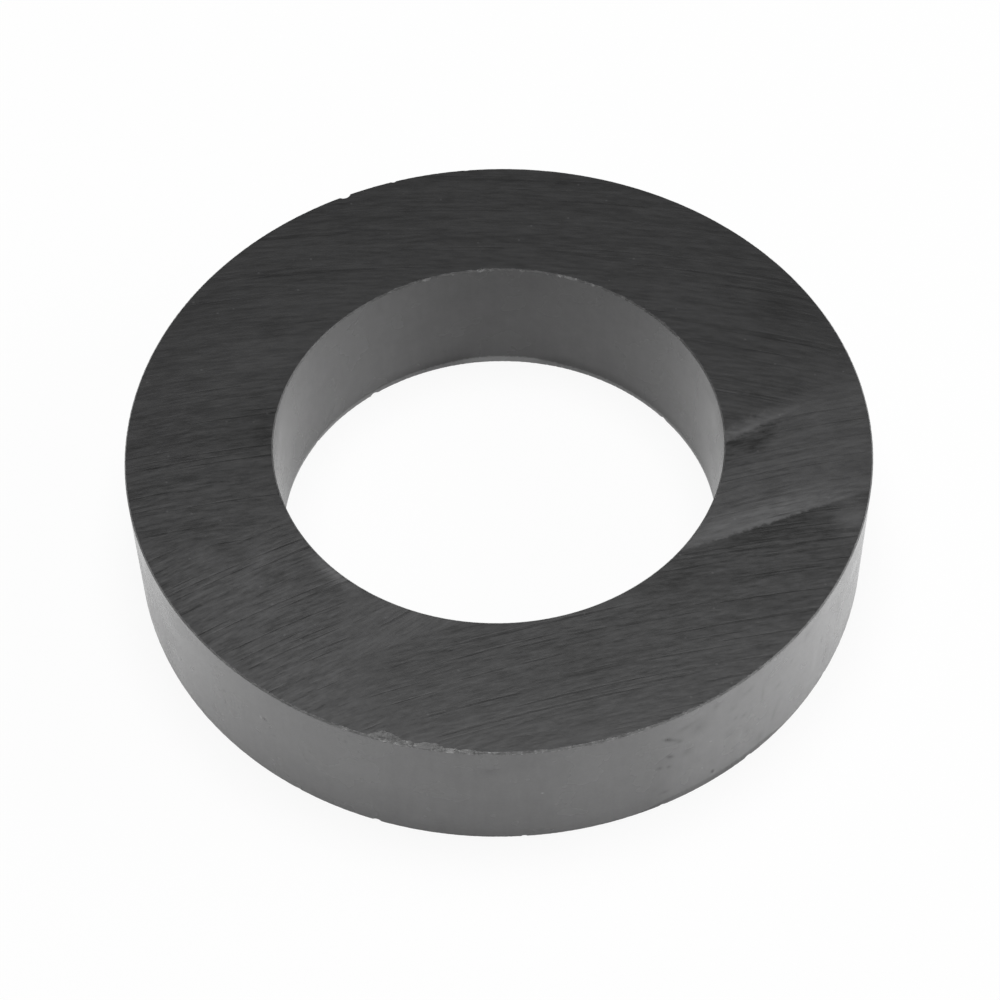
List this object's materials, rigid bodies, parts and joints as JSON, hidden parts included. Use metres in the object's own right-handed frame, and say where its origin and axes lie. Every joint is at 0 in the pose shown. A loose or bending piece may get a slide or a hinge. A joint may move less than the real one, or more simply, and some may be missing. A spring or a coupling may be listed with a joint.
{
  "type": "ring magnet",
  "caption": "Flat ring of sintered hard ferrite with a plain round bore, two ground pole faces, as-fired walls and lightly chipped edges.",
  "frame": {"origin": "centre of the lower pole face, on the surface that the ring lies on", "axes": "+Z along the ring's axis, out of the upper pole face; +X and +Y are any two square directions across the ring"},
  "size_m": [0.1, 0.1, 0.02],
  "materials": {
    "ferrite": "satin"
  },
  "bodies": {
    "root": {"magnet_ring": "ferrite"}
  },
  "joints": []
}
